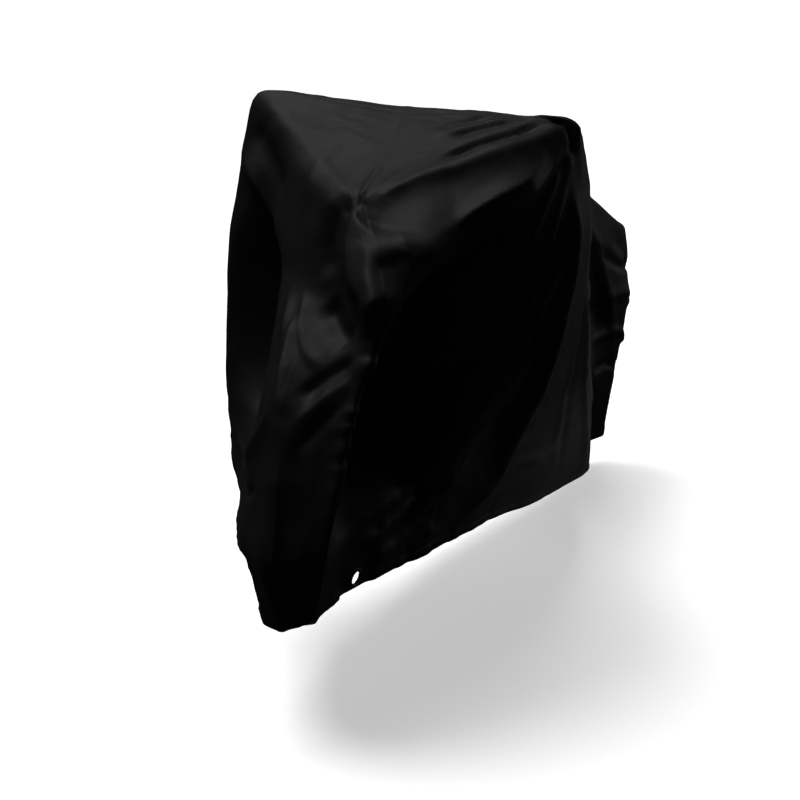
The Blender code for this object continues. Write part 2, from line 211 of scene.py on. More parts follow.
# Folds, each as side, rise, width, lean and then a line of station and height pairs.
# A positive lean makes the right-hand side of that line the steeper one, seen from outside.
# One on both sides crosses the front seam, and its line is in the right side's stations.
folds = [
    ("left", 0.040, 0.055, 0.80, [(0.10, 2.00), (0.44, 1.80), (1.03, 1.68), (1.6, 1.62),
                                  (2.2, 1.60), (2.7, 1.50), (3.3, 1.34)]),  # swag edge
    ("left", -0.026, 0.036, 0.0, [(0.35, 2.42), (1.2, 2.18), (2.1, 2.02), (2.8, 1.88)]),
    ("left", 0.008, 0.010, 0.5, [(0.95, 1.62), (1.5, 1.52), (2.3, 1.42), (2.9, 1.30)]),
    ("left", 0.011, 0.026, 0.35, [(0.20, 0.56), (0.6, 0.74), (1.2, 0.94), (2.1, 1.0),
                                  (3.6, 1.08)]),  # band
    ("left", -0.012, 0.011, 0.2, [(3.7, 0.92), (2.71, 0.86), (2.09, 0.75), (1.38, 0.66)]),
    ("left", -0.009, 0.009, 0.2, [(3.7, 0.76), (3.0, 0.62), (2.3, 0.46)]),
    ("left", -0.006, 0.008, 0.2, [(3.6, 0.56), (3.1, 0.40), (2.7, 0.30)]),  # by the ridge
    ("left", 0.020, 0.014, 0.45, [(3.78, 1.25), (3.29, 1.98), (3.03, 2.48), (2.85, 2.85),
                                  (2.56, 3.32), (2.35, 3.61), (2.0, 3.98), (1.5, 4.25)]),
    ("left", -0.012, 0.012, 0.0, [(3.8, 1.5), (3.35, 2.3), (2.95, 3.05), (2.5, 3.7), (2.0, 4.2)]),
    ("left", 0.010, 0.008, 0.4, [(3.5, 1.4), (3.1, 1.75), (2.75, 2.25), (2.55, 2.85)]),
    ("left", 0.018, 0.012, 0.45, [(3.75, 1.9), (3.4, 2.7), (3.0, 3.3), (2.6, 3.85),
                                  (2.1, 4.3), (1.6, 4.6)]),
    ("left", -0.012, 0.012, 0.0, [(3.6, 2.6), (3.2, 3.4), (2.8, 3.9), (2.2, 4.4)]),
    ("left", 0.013, 0.016, 0.25, [(2.68, 3.15), (2.47, 3.48), (2.12, 3.85), (1.79, 4.03),
                                  (1.32, 4.11), (0.90, 4.18)]),
    ("left", 0.013, 0.016, 0.25, [(2.79, 3.25), (2.42, 3.80), (2.08, 4.18), (1.44, 4.36),
                                  (0.9, 4.42)]),
    ("left", 0.014, 0.018, 0.25, [(2.95, 3.6), (2.55, 4.25), (2.12, 4.52), (1.65, 4.64),
                                  (1.2, 4.70)]),
    ("left", 0.010, 0.016, 0.2, [(3.0, 4.2), (2.6, 4.55), (2.1, 4.80)]),
    ("left", -0.026, 0.030, 0.0, [(3.55, 3.3), (3.2, 3.95), (2.8, 4.45), (2.3, 4.8)]),  # wedge
    ("left", 0.034, 0.030, 0.45, [(3.75, 1.4), (3.72, 2.58), (3.66, 3.45), (3.34, 4.28),
                                  (2.8, 4.86)]),  # crest before the rear panel
    ("left", 0.006, 0.010, 0.0, [(4.3, 1.6), (4.35, 3.0), (4.3, 4.6)]),
    ("left", -0.006, 0.010, 0.0, [(4.45, 2.4), (4.5, 3.4), (4.4, 4.8)]),
    ("left", 0.009, 0.010, 0.0, [(4.70, 2.4), (4.82, 3.6), (4.90, 4.9)]),  # pale strip
    ("left", -0.009, 0.008, 0.0, [(3.80, 0.85), (3.76, 1.35)]),  # folds at the grip's tip
    ("left", -0.009, 0.008, 0.0, [(3.80, 1.35), (4.1, 0.95)]),
    ("left", 0.008, 0.007, 0.0, [(3.95, 0.70), (3.9, 1.20)]),
    ("left", 0.014, 0.050, 0.0, [(5.3, 1.4), (7.4, 4.4)]),  # rear pull
    ("left", 0.012, 0.018, 0.4, [(5.0, 1.3), (5.9, 2.6), (6.6, 4.3)]),
    ("left", 0.009, 0.014, 0.4, [(4.9, 1.2), (5.4, 2.8), (5.7, 4.6)]),
    ("left", -0.014, 0.055, 0.0, [(6.2, 1.1), (7.6, 3.6)]),  # behind the saddle
    ("left", 0.011, 0.016, 0.4, [(6.4, 0.9), (7.2, 2.0), (7.9, 3.9)]),
    ("left", -0.011, 0.030, 0.0, [(7.6, 1.7), (8.2, 2.0), (9.3, 2.4)]),  # rear pinch
    ("left", 0.009, 0.028, 0.4, [(7.1, 2.9), (8.0, 2.7), (9.4, 2.9)]),  # rear swell
    ("left", -0.008, 0.015, 0.2, [(7.2, 2.1), (7.9, 2.3), (8.8, 2.0)]),
    ("left", 0.010, 0.012, 0.3, [(7.0, 3.5), (7.8, 3.3), (8.9, 3.6)]),
    ("left", -0.010, 0.014, 0.2, [(7.0, 3.9), (7.7, 3.8), (8.6, 4.0)]),
    ("both", -0.016, 0.020, 0.0, [(0.34, 2.36), (0.62, 2.22), (0.90, 1.98)]),  # under the leaf
    ("right", -0.013, 0.024, 0.0, [(0.50, 0.66), (0.84, 1.08), (0.97, 1.45), (0.88, 1.80)]),
    ("both", 0.010, 0.012, 0.0, [(-0.15, 2.2), (0.0, 2.7), (0.05, 3.3), (0.1, 3.9)]),  # seam
    ("right", 0.007, 0.030, 0.0, [(3.95, 0.97), (3.0, 0.94), (2.24, 0.84), (1.41, 0.74),
                                  (0.74, 0.64), (0.35, 0.52)]),  # ridge from the grip
    ("right", 0.014, 0.022, 0.45, [(1.66, 2.05), (1.54, 2.32), (1.2, 2.65), (1.32, 3.0),
                                   (1.9, 3.35), (2.6, 3.62)]),  # front's edge by the hollow
    ("right", 0.018, 0.026, 0.55, [(3.95, 1.42), (3.24, 1.58), (2.76, 1.70), (2.1, 1.84)]),  # brow
    ("right", -0.020, 0.040, 0.0, [(2.6, 2.2), (2.75, 2.9), (3.1, 3.4)]),
    ("right", -0.008, 0.022, 0.0, [(3.7, 1.20), (3.0, 1.28), (2.3, 1.42)]),  # by the grip
    ("right", 0.006, 0.014, 0.3, [(1.35, 2.0), (1.15, 2.25), (0.9, 2.45), (0.55, 2.6)]),
    ("right", 0.010, 0.018, 0.3, [(1.35, 2.2), (1.15, 2.6), (1.0, 3.0)]),
    ("right", -0.008, 0.012, 0.3, [(0.20, 2.50), (0.5, 2.62), (0.85, 2.80)]),
    ("right", 0.006, 0.010, 0.3, [(0.10, 2.68), (0.45, 2.80), (0.8, 3.02)]),
    ("right", -0.006, 0.010, 0.2, [(0.10, 2.86), (0.4, 2.98), (0.7, 3.2)]),
    ("right", 0.006, 0.014, 0.0, [(0.95, 3.1), (0.8, 3.9), (0.7, 4.7)]),
    ("right", 0.007, 0.008, 0.0, [(3.6, 3.6), (2.9, 3.75), (2.3, 3.6)]),  # small creases
    ("right", -0.007, 0.008, 0.0, [(2.6, 3.5), (2.0, 3.7), (1.5, 3.55)]),
    ("right", 0.007, 0.009, 0.0, [(3.2, 4.1), (2.4, 4.0), (1.7, 4.2)]),
    ("right", 0.018, 0.032, 0.4, [(4.3, 1.2), (5.4, 3.0), (6.4, 4.6)]),  # long fold
    ("right", -0.016, 0.040, 0.0, [(4.6, 1.8), (7.3, 4.5)]),
    ("right", 0.014, 0.022, 0.4, [(4.2, 2.0), (4.9, 4.7)]),
    ("right", 0.012, 0.015, 0.4, [(4.4, 1.1), (5.4, 2.3), (7.6, 4.2)]),
    ("right", -0.010, 0.014, 0.0, [(4.5, 0.9), (6.0, 1.9), (8.2, 3.8)]),
    ("right", 0.009, 0.011, 0.4, [(4.6, 2.9), (5.2, 3.9), (5.5, 4.7)]),
    ("right", -0.014, 0.050, 0.0, [(6.4, 1.1), (8.0, 3.4)]),
    ("right", 0.013, 0.020, 0.4, [(6.6, 1.0), (7.6, 2.2), (9.2, 3.3)]),
    ("right", -0.012, 0.015, 0.0, [(7.9, 1.6), (9.3, 2.2)]),
    ("right", 0.010, 0.014, 0.3, [(7.4, 3.2), (8.4, 3.0), (9.4, 3.4)]),
]

# The stiff pouch of cloth that hangs from the lamp. Its line, in the right side's stations,
# is its left edge as seen from ahead.
leaf = {
    "line": [(0.02, 0.50), (0.40, 0.98), (0.58, 1.40), (0.50, 1.85), (0.06, 2.32)],
    "toward": np.array([0.50, -0.85, 0.16]),  # the way that it stands out
    "rise": 0.078,
    "top": 0.044,  # the width of its flat top
    "edge": 0.007,
    "slope": 0.046,  # the width of its far side
    "fullest": 0.88,  # how far down it stands out most
    "growth": 1.1,  # how slowly it starts to stand out
    "lensLean": 0.85,  # below 1, its flat top is widest above its middle
    "ends": 0.01,  # how near its ends its top stops narrowing, as a share of its line
    "softening": 3,  # rounds of blur over the mesh
}

# Hollows and swells, each as side, rise, its middle and its reach in stations and heights.
swells = [
    ("left", -0.060, (1.35, 2.60), (1.35, 1.15)),  # behind the front wheel
    ("left", -0.055, (1.25, 3.40), (1.20, 0.95)),
    ("right", -0.080, (2.85, 2.55), (1.05, 1.25)),  # between the grip and the wheel
    ("left", -0.010, (3.9, 0.80), (0.55, 0.45)),  # in front of the grip
    ("left", 0.020, (4.3, 4.6), (1.2, 1.2)),  # the hem below the grip
    ("left", 0.010, (0.55, 1.45), (0.60, 0.55)),  # beside the leaf
    ("left", -0.036, (0.80, 3.85), (0.95, 0.48)),  # the hollow's lower end
]


def hollows(side):
    lift = np.zeros((len(stationLines), len(heightLines)))
    for swellSide, rise, middle, reach in swells:
        if swellSide == side:
            along = (stationLines - middle[0])[:, None] / reach[0]
            down = (heightLines - middle[1])[None, :] / reach[1]
            lift += rise * smooth(1 - np.hypot(along, down))
    return lift


wrinkles = {
    "seeds": {"soft": 11, "ridge": 21, "bend": 31, "patch": 41, "fan": 51, "gather": 61,
              "gatherReach": 62, "pucker": 71},
    "cells": 24,  # the noise repeats after this many of its cells
    "soft": [(0.20, 0.0030), (0.09, 0.0014)],  # size, rise
    "crumple": [(0.070, 0.0016), (0.034, 0.0009)],
    "bend": 0.4,  # how far a crumple's line wanders, in its own sizes
    "narrow": 3,  # how narrow its ridge is
    "patch": 0.22,  # the size of the patches that the crumples come in
    "fan": {"left": (4.0, 0.9), "right": (4.0, 0.9)},  # where the fans of folds start
    "fanRise": 0.0045,
    "fanTurn": 0.11,  # the turn from one fold of the fan to the next, in radians
    "fanGrow": 0.30,  # how far from the grip they are fully raised
    "fanLength": 0.45,
    "fanSlice": 3.3,  # where the noise is cut
    "gatherRise": 0.0030,
    "gatherStep": 0.021,
    "gatherReach": 0.085,
    "gatherVary": 0.5,  # how unequal their lengths are
    "gatherVaryStep": 3.0,
    "gatherLeast": 0.35,  # their share of the rise at the rear
    "gatherFrom": 3.2,  # the station where they start to grow forward
    "gatherOver": 1.6,
    "puckerRise": 0.0057,
    "puckerStep": 0.013,
    "puckerReach": 0.016,
    "puckerHeights": (1.9, 3.7),
    "puckerFade": 0.4,
}
# How far from each seam the folds and wrinkles reach their full size, in heights and stations.
fadeOver = {"top": 0.4, "front": 0.3, "rear": 0.4}


def noiseField(points, size, seed):
    table = np.random.default_rng(seed).uniform(-1, 1, (wrinkles["cells"],) * 3)
    p = points / size
    base = np.floor(p).astype(int)
    f = smooth(p - base)
    total = np.zeros(points.shape[:-1])
    for dx in (0, 1):
        for dy in (0, 1):
            for dz in (0, 1):
                pick = (base + (dx, dy, dz)) % wrinkles["cells"]
                weight = np.prod(np.where((dx, dy, dz), f, 1 - f), axis=-1)
                total += weight * table[pick[..., 0], pick[..., 1], pick[..., 2]]
    return total


def lineOfFold(side, places):
    places = np.array(places, float)
    last = len(places) - 1
    t = np.linspace(0, last, foldForm["lineSteps"] * last + 1)
    u = np.interp(t, np.arange(last + 1), places[:, 0])
    v = np.interp(t, np.arange(last + 1), places[:, 1])
    return rounded(ringPlace(side, u), v)


def sideNormals(side, points):
    along = np.gradient(points, axis=0)
    down = np.gradient(points, axis=1)
    return np.cross(down, along) * outward[side]


# Each row is from, to and the number of cells between, finest where the folds are.
meshCells = {
    "stations": [(0, 4, 200), (4, 5, 30), (5, 10, 60)],
    "heights": [(0, 0.12, 6), (0.12, 4.68, 128), (4.68, 5, 18)],
}


def cellLines(spans):
    parts = [np.linspace(start, end, cells + 1)[:-1] for start, end, cells in spans]
    return np.concatenate(parts + [[spans[-1][1]]])


stationLines = cellLines(meshCells["stations"])
heightLines = cellLines(meshCells["heights"])

eyelets = {
    "bore": 0.0125,
    "wall": 0.0011,
    "flange": 0.0205,
    "fit": 0.0004,  # the gap between ring and cloth
    "hole": 0.0155,
    "padFlat": 0.036,  # the cloth is flat this far out, and blends in up to padBlend
    "padBlend": 0.066,
    "seatStep": 0.05,  # the step in stations and heights that shows which way the cloth faces
    "sides": 64,
    "sharpAngle": math.radians(40),
    # the lip, out from the bore and up in faces, and the rim, in from the flange's edge
    "lip": [(0.0, 0.2), (0.0, 0.55), (0.0004, 0.9), (0.0012, 1.2), (0.0022, 1.36),
            (0.0034, 1.38), (0.0050, 1.22)],
    "rim": [(0.0016, 1.0), (0.0006, 0.9)],
    "rimEdge": 0.0004,
    "keepMiddle": 0.004,  # points nearer the middle than this aren't pushed out
    "depth": 0.02,  # how far each way along its axis the hole reaches
    "left": (1.1, 4.86),
    "right": (3.3, 4.84),
}
strips = {"top": 4.68, "left": (0.25, 2.0), "right": (2.5, 4.0)}


def eyeletSeat(side):
    station, height = eyelets[side]
    d = eyelets["seatStep"]
    u = ringPlace(side, np.array([station, station - d, station + d, station, station]))
    v = np.array([height, height, height, height - d, height + d])
    centre, fore, aft, above, below = rounded(u, v)
    return centre, unit(np.cross(below - above, aft - fore) * outward[side])


def acrossFold(gap, width, crest):
    # a crest is sharp with hollow flanks, and a trough is soft
    x = gap / width
    if crest:
        blunt = foldForm["blunt"] + foldForm["bluntLeast"] / width
        return np.exp(foldForm["flank"] * (blunt - np.sqrt(x * x + blunt * blunt)))
    return bell(x)


def raiseFolds(side, points, normals, fade):
    lift = np.zeros(points.shape[:-1])
    for foldSide, rise, width, lean, places in folds:
        if foldSide in (side, "both"):
            line = lineOfFold(side if foldSide == side else "right", places)
            gap, along, beside = nearLine(points, line, normals)
            fromEnd = smooth(np.minimum(along, 1 - along) / foldForm["endReach"])
            taper = foldForm["endRise"] + (1 - foldForm["endRise"]) * fromEnd
            crest = rise * taper * acrossFold(gap, width * (1 - lean * beside), rise > 0)
            lift += crest * (fade if foldSide == side else 1)
    return lift


def soften(field, rounds):
    for _ in range(rounds):
        for axis in (0, 1):
            padded = np.pad(field, [(int(k == axis),) * 2 for k in (0, 1)], mode="edge")
            count = field.shape[axis]
            before = padded.take(range(count), axis)
            after = padded.take(range(2, count + 2), axis)
            field = (before + 2 * field + after) / 4
    return field


def raiseLeaf(points, normals):
    # the pouch stands out further the lower it goes, then tucks under
    gap, along, beside = nearLine(points, lineOfFold("right", leaf["line"]), normals)
    within = np.clip(along, leaf["ends"], 1 - leaf["ends"])
    lens = np.sin(np.pi * within ** leaf["lensLean"])
    onTop = bell(np.maximum(gap - leaf["top"] * lens, 0) / leaf["slope"])
    leftOfIt = bell(gap / leaf["edge"])
    out = np.minimum(along / leaf["fullest"], (1 - along) / (1 - leaf["fullest"]))
    which = (beside + 1) / 2
    across = onTop * (1 - which) + leftOfIt * which
    return soften(leaf["rise"] * np.clip(out, 0, 1) ** leaf["growth"] * across,
                  leaf["softening"])


def crumple(points):
    seeds = wrinkles["seeds"]
    lift = np.zeros(points.shape[:-1])
    for k, (size, rise) in enumerate(wrinkles["soft"]):
        lift += rise * noiseField(points, size, seeds["soft"] + k)
    for k, (size, rise) in enumerate(wrinkles["crumple"]):
        wander = wrinkles["bend"] * size * noiseField(points, size * 2, seeds["bend"] + k)
        line = noiseField(points + wander[..., None], size, seeds["ridge"] + k)
        patch = smooth(0.5 + noiseField(points, wrinkles["patch"], seeds["patch"] + k))
        lift += rise * (1 - wrinkles["narrow"] * np.abs(line)) * patch
    return lift


def fanOfFolds(side, points):
    # folds that spread from the grip, stronger the further they go
    station, height = wrinkles["fan"][side]
    grip = rounded(ringPlace(side, np.array([station])), np.array([height]))[0]
    off = points - grip
    reach = np.linalg.norm(off, axis=-1)
    turn = np.arctan2(-off[..., 2], off[..., 1])
    spread = np.stack([turn / wrinkles["fanTurn"], reach / wrinkles["fanLength"],
                       0 * turn + wrinkles["fanSlice"]], axis=-1)
    streak = noiseField(spread, 1.0, wrinkles["seeds"]["fan"])
    return wrinkles["fanRise"] * streak * smooth(reach / wrinkles["fanGrow"])


def lengthAlong(line):
    step = np.linalg.norm(np.diff(line, axis=0), axis=-1)
    return np.concatenate([[0], np.cumsum(step)])


def waveAlong(length, step):
    # places for noise that changes along one line only
    return np.stack([length / step, 0 * length, 0 * length], axis=-1)


def fromTopAndHem(points):
    # how far each point lies from the top and from the hem, down the cloth
    fall = np.linalg.norm(np.diff(points, axis=1), axis=-1)
    zero = np.zeros((len(points), 1))
    fromTop = np.concatenate([zero, np.cumsum(fall, axis=1)], axis=1)
    toHem = np.concatenate([np.cumsum(fall[:, ::-1], axis=1)[:, ::-1], zero], axis=1)
    return fromTop, toHem


def gathers(points):
    # small folds that run up from the hem, strongest by the front wheel
    place = waveAlong(lengthAlong(points[:, -1]), wrinkles["gatherStep"])
    forward = smooth((wrinkles["gatherFrom"] - stationLines) / wrinkles["gatherOver"])
    strength = wrinkles["gatherLeast"] + (1 - wrinkles["gatherLeast"]) * forward
    wave = noiseField(place, 1.0, wrinkles["seeds"]["gather"]) * strength
    vary = noiseField(place, wrinkles["gatherVaryStep"], wrinkles["seeds"]["gatherReach"])
    reach = wrinkles["gatherReach"] * (1 + wrinkles["gatherVary"] * vary)
    toHem = fromTopAndHem(points)[1]
    return wrinkles["gatherRise"] * wave[:, None] * bell(toHem / reach[:, None])


seams = {
    "hem": 0.020,  # the rolled hem's width
    "hemRise": 0.0022,
    "hemTurn": 0.006,
    "stitch": 0.0009,  # the groove that its stitching pulls
    "stitchOff": 0.004,  # how far that lies above the hem
    "stitchWidth": 0.003,
    "flat": 0.009,  # half the flat seam's width
    "flatRise": 0.0009,
    "flatTurn": 0.005,
}


def sewnEdges(points):
    # the rolled hem, and the flat seam down the front, over the top and down the rear
    fromTop, toHem = fromTopAndHem(points)
    fromGroove = toHem - seams["hem"] - seams["stitchOff"]
    roll = seams["hemRise"] * smooth((seams["hem"] - toHem) / seams["hemTurn"])
    roll -= seams["stitch"] * bell(fromGroove / seams["stitchWidth"])
    fromFront = np.linalg.norm(points - points[:1], axis=-1)
    fromRear = np.linalg.norm(points - points[-1:], axis=-1)
    near = np.minimum(np.minimum(fromTop, fromFront), fromRear)
    return roll + seams["flatRise"] * smooth((seams["flat"] - near) / seams["flatTurn"])


def seamPuckers(points):
    # short puckers across the front seam, below the swag
    place = waveAlong(lengthAlong(points[0]), wrinkles["puckerStep"])
    wave = noiseField(place, 1.0, wrinkles["seeds"]["pucker"])
    upper, lower = wrinkles["puckerHeights"]
    where = smooth((heightLines - upper) / wrinkles["puckerFade"])
    where *= smooth((lower - heightLines) / wrinkles["puckerFade"])
    across = np.linalg.norm(points - points[:1], axis=-1)
    return wrinkles["puckerRise"] * (wave * where)[None, :] * bell(across / wrinkles["puckerReach"])


def sharedNormals(points):
    # both sides' normals, made equal along the seams
    normals = {side: unit(sideNormals(side, points[side])) for side in outward}
    left, right = normals["left"], normals["right"]
    for on in ((slice(None), 0), (0, slice(None)), (-1, slice(None))):
        both = unit(left[on] + right[on])
        left[on] = both
        right[on] = both
    return normals


def foldedSide(side, points, normals):
    top = np.clip(heightLines / fadeOver["top"], 0, 1)[None, :]
    front = np.clip(stationLines / fadeOver["front"], 0, 1)[:, None]
    rear = np.clip((shape["stations"] - stationLines) / fadeOver["rear"], 0, 1)[:, None]
    fade = top * front * rear
    lift = (crumple(points) + fanOfFolds(side, points)) * fade
    lift += raiseFolds(side, points, normals, fade) + hollows(side)
    lift += gathers(points) * np.minimum(front, rear)
    lift += seamPuckers(points) + sewnEdges(points)
    pouch = raiseLeaf(points, normals)
    points = points + normals * lift[..., None] + leaf["toward"] * pouch[..., None]
    centre, axis = eyeletSeat(side)
    off = (points - centre) @ axis
    reach = np.linalg.norm(points - centre - off[..., None] * axis, axis=-1)
    t = smooth((eyelets["padBlend"] - reach) / (eyelets["padBlend"] - eyelets["padFlat"]))
    t = np.where(np.abs(off) < eyelets["padBlend"], t, 0)
    return points - (off * t)[..., None] * axis


def clothGrids():
    plain = {side: rounded(ringPlace(side, stationLines)[:, None], heightLines[None, :])
             for side in outward}
    normals = sharedNormals(plain)
    points = {side: foldedSide(side, plain[side], normals[side]) for side in outward}
    normals = sharedNormals(points)
    outer = {side: points[side] - shape["origin"] for side in outward}
    inner = {side: outer[side] - normals[side] * shape["thickness"] for side in outward}
    return outer, inner


def lieOnCloth(points):
    # metres along and down the cloth, for the weave
    step = np.linalg.norm(np.diff(points, axis=0), axis=-1).mean(1)
    fall = np.linalg.norm(np.diff(points, axis=1), axis=-1).mean(0)
    along = np.concatenate([[0], np.cumsum(step)])
    down = np.concatenate([[0], np.cumsum(fall)])
    return np.stack(np.meshgrid(along, down, indexing="ij"), axis=-1)


def closedSheet(name, side, outer, inner, cells, material):
    count = outer.shape[0] * outer.shape[1]
    index = np.arange(count).reshape(outer.shape[:2])
    corners = [index[:-1, :-1][cells], index[:-1, 1:][cells],
               index[1:, 1:][cells], index[1:, :-1][cells]]
    if side == "right":
        corners.reverse()
    face = np.stack(corners, axis=1)
    edges = np.concatenate([face[:, [k, (k + 1) % 4]] for k in range(4)])
    there = edges[:, 0] * count + edges[:, 1]
    back = edges[:, 1] * count + edges[:, 0]
    rim = edges[~np.isin(there, back)]
    rimFace = np.stack([rim[:, 1], rim[:, 0], rim[:, 0] + count, rim[:, 1] + count], axis=1)
    quads = np.concatenate([face, face[:, ::-1] + count, rimFace])
    used, small = np.unique(quads, return_inverse=True)
    small = small.reshape(quads.shape)
    places = np.concatenate([outer.reshape(-1, 3), inner.reshape(-1, 3)])
    mesh = bpy.data.meshes.new(name)
    mesh.from_pydata(places[used].tolist(), [], small.tolist())
    lie = np.tile(lieOnCloth(outer).reshape(-1, 2), (2, 1))[used]
    layer = mesh.uv_layers.new(name="lie")
    loops = np.zeros(len(mesh.loops), int)
    mesh.loops.foreach_get("vertex_index", loops)
    layer.data.foreach_set("uv", lie[loops].astype(np.float32).ravel())
    mesh.materials.append(material)
    mesh.shade_smooth()
    mesh.set_sharp_from_angle(angle=shape["sharpAngle"])
    piece = bpy.data.objects.new(name, mesh)
    bpy.context.collection.objects.link(piece)
    return piece


# Shader maths is written on wires, and every other node comes from add.
class Wire:
    def __init__(self, paint, socket):
        self.paint = paint
        self.socket = socket

    def maths(self, operation, other):
        return self.paint.add("ShaderNodeMath", {"operation": operation}, {0: self, 1: other})

    def __add__(self, other):
        return self.maths("ADD", other)

    def __mul__(self, other):
        return self.maths("MULTIPLY", other)

    __radd__ = __add__
    __rmul__ = __mul__


class Paint:
    def __init__(self, name):
        self.material = bpy.data.materials.new(name)
        self.material.use_nodes = True
        self.tree = self.material.node_tree
        self.shader = self.tree.nodes["Principled BSDF"]

    def add(self, kind, settings, inputs, output=0):
        node = self.tree.nodes.new(kind)
        for key, value in settings.items():
            if key == "stops":
                self.setStops(node, value)
            else:
                setattr(node, key, value)
        for key, value in inputs.items():
            self.feed(node.inputs[key], value)
        return Wire(self, node.outputs[output])

    def setStops(self, node, stops):
        for k, (place, colour) in enumerate(stops):
            ramp = node.color_ramp.elements
            stop = ramp[k] if k < 2 else ramp.new(place)
            stop.position = place
            stop.color = colour

    def feed(self, socket, value):
        if isinstance(value, Wire):
            self.tree.links.new(value.socket, socket)
        else:
            socket.default_value = value

    def finish(self, inputs):
        for key, value in inputs.items():
            self.feed(self.shader.inputs[key], value)
        return self.material


clothLook = {
    "dark": (0.0042, 0.0042, 0.0043, 1),
    "light": (0.0080, 0.0080, 0.0082, 1),
    "roughness": 0.51,
    "specular": 0.092,
    "mottle": {"Scale": 7.0, "Detail": 6.0, "Roughness": 0.6},
    "mottleRough": 0.10,
    "fine": {"Scale": 60.0, "Detail": 4.0, "Roughness": 0.55},
    "fineRough": 0.06,
    "crinkle": {"Strength": 0.30, "Distance": 0.0020},
    "weave": 0.0009,  # the threads' pitch
    "wavePitch": 0.31416,  # a wave texture's own pitch at scale 1
    "thread": {"Strength": 0.25, "Distance": 0.00008},
}


def clothMaterial(name):
    look = clothLook
    paint = Paint(name)
    place = paint.add("ShaderNodeTexCoord", {}, {}, "Object")
    lie = paint.add("ShaderNodeUVMap", {"uv_map": "lie"}, {})
    weaveScale = look["wavePitch"] / look["weave"]
    threads = [paint.add("ShaderNodeTexWave", {"bands_direction": way},
                         {"Vector": lie, "Scale": weaveScale}, 1) for way in ("X", "Y")]
    weave = threads[0] * 0.5 + threads[1] * 0.5
    mottle = paint.add("ShaderNodeTexNoise", {}, {"Vector": place, **look["mottle"]})
    fine = paint.add("ShaderNodeTexNoise", {}, {"Vector": place, **look["fine"]})
    colour = paint.add("ShaderNodeMix", {"data_type": "RGBA"},
                       {0: mottle, 6: look["dark"], 7: look["light"]}, 2)
    roughness = look["roughness"] + mottle * look["mottleRough"] + fine * look["fineRough"]
    crinkled = paint.add("ShaderNodeBump", {}, {"Height": fine, **look["crinkle"]})
    woven = paint.add("ShaderNodeBump", {},
                      {"Height": weave, "Normal": crinkled, **look["thread"]})
    return paint.finish({"Base Color": colour, "Roughness": roughness, "Normal": woven,
                         "Specular IOR Level": look["specular"]})


metalLook = {
    "colour": (0.018, 0.018, 0.020, 1),
    "worn": (0.09, 0.088, 0.085, 1),
    "wear": [(0.56, (0, 0, 0, 1)), (0.72, (1, 1, 1, 1))],
    "speckle": {"Scale": 420.0, "Detail": 4.0},
    "speckleRough": 0.15,
    "roughness": 0.3,
    "metallic": 0.6,
}


def metalMaterial(name):
    look = metalLook
    paint = Paint(name)
    place = paint.add("ShaderNodeTexCoord", {}, {}, "Object")
    speckle = paint.add("ShaderNodeTexNoise", {}, {"Vector": place, **look["speckle"]})
    worn = paint.add("ShaderNodeValToRGB", {"stops": look["wear"]}, {"Fac": speckle})
    colour = paint.add("ShaderNodeMix", {"data_type": "RGBA"},
                       {0: worn, 6: look["colour"], 7: look["worn"]}, 2)
    return paint.finish({"Base Color": colour, "Metallic": look["metallic"],
                         "Roughness": look["roughness"] + speckle * look["speckleRough"]})


def seatMatrix(side):
    centre, axis = eyeletSeat(side)
    middle = centre - shape["origin"] - axis * shape["thickness"] / 2
    turn = Vector((0, 0, 1)).rotation_difference(Vector(axis)).to_matrix().to_4x4()
    return Matrix.Translation(Vector(middle)) @ turn


def eyeletRing(name, side, material):
    seat = shape["thickness"] / 2 + eyelets["fit"]
    bore, flange, wall = eyelets["bore"], eyelets["flange"], eyelets["wall"]
    face = seat + wall
    half = [(bore + out, face * up) for out, up in eyelets["lip"]]
    half += [(flange - back, face * up) for back, up in eyelets["rim"]]
    half += [(flange, seat + eyelets["rimEdge"]), (flange, seat), (bore + wall, seat)]
    profile = half + [(r, -h) for r, h in reversed(half)]
    turns = eyelets["sides"]
    angles = np.arange(turns) * math.tau / turns
    verts = [(r * math.cos(a), r * math.sin(a), h) for a in angles for r, h in profile]
    n = len(profile)
    faces = []
    for k in range(turns):
        near, far = k * n, (k + 1) % turns * n
        for m in range(n):
            o = (m + 1) % n
            faces.append((near + m, near + o, far + o, far + m))
    mesh = bpy.data.meshes.new(name)
    mesh.from_pydata(verts, [], faces)
    mesh.transform(seatMatrix(side))
    mesh.materials.append(material)
    mesh.shade_smooth()
    mesh.set_sharp_from_angle(angle=eyelets["sharpAngle"])
    ring = bpy.data.objects.new(name, mesh)
    bpy.context.collection.objects.link(ring)
    return ring


def stripCells(side):
    front, rear = strips[side]
    u = (stationLines[:-1] + stationLines[1:]) / 2
    v = (heightLines[:-1] + heightLines[1:]) / 2
    return ((u > front) & (u < rear))[:, None] & (v > strips["top"])[None, :]


def openHole(side, outer, inner, cells):
    # take out the cells under the ring, and round off what is left
    centre, axis = eyeletSeat(side)
    centre = centre - shape["origin"]
    middle = (outer[:-1, :-1] + outer[1:, :-1] + outer[:-1, 1:] + outer[1:, 1:]) / 4
    cells = cells & (np.linalg.norm(middle - centre, axis=-1) > eyelets["hole"])
    for grid in (outer, inner):
        off = grid - centre
        flat = off - (off @ axis)[..., None] * axis
        reach = np.linalg.norm(flat, axis=-1, keepdims=True)
        inside = (reach < eyelets["hole"]) & (reach > eyelets["keepMiddle"])
        inside &= np.abs(off @ axis)[..., None] < eyelets["depth"]
        further = eyelets["hole"] / np.maximum(reach, eyelets["keepMiddle"]) - 1
        push = np.where(inside, further, 0)
        grid += flat * push
    return cells


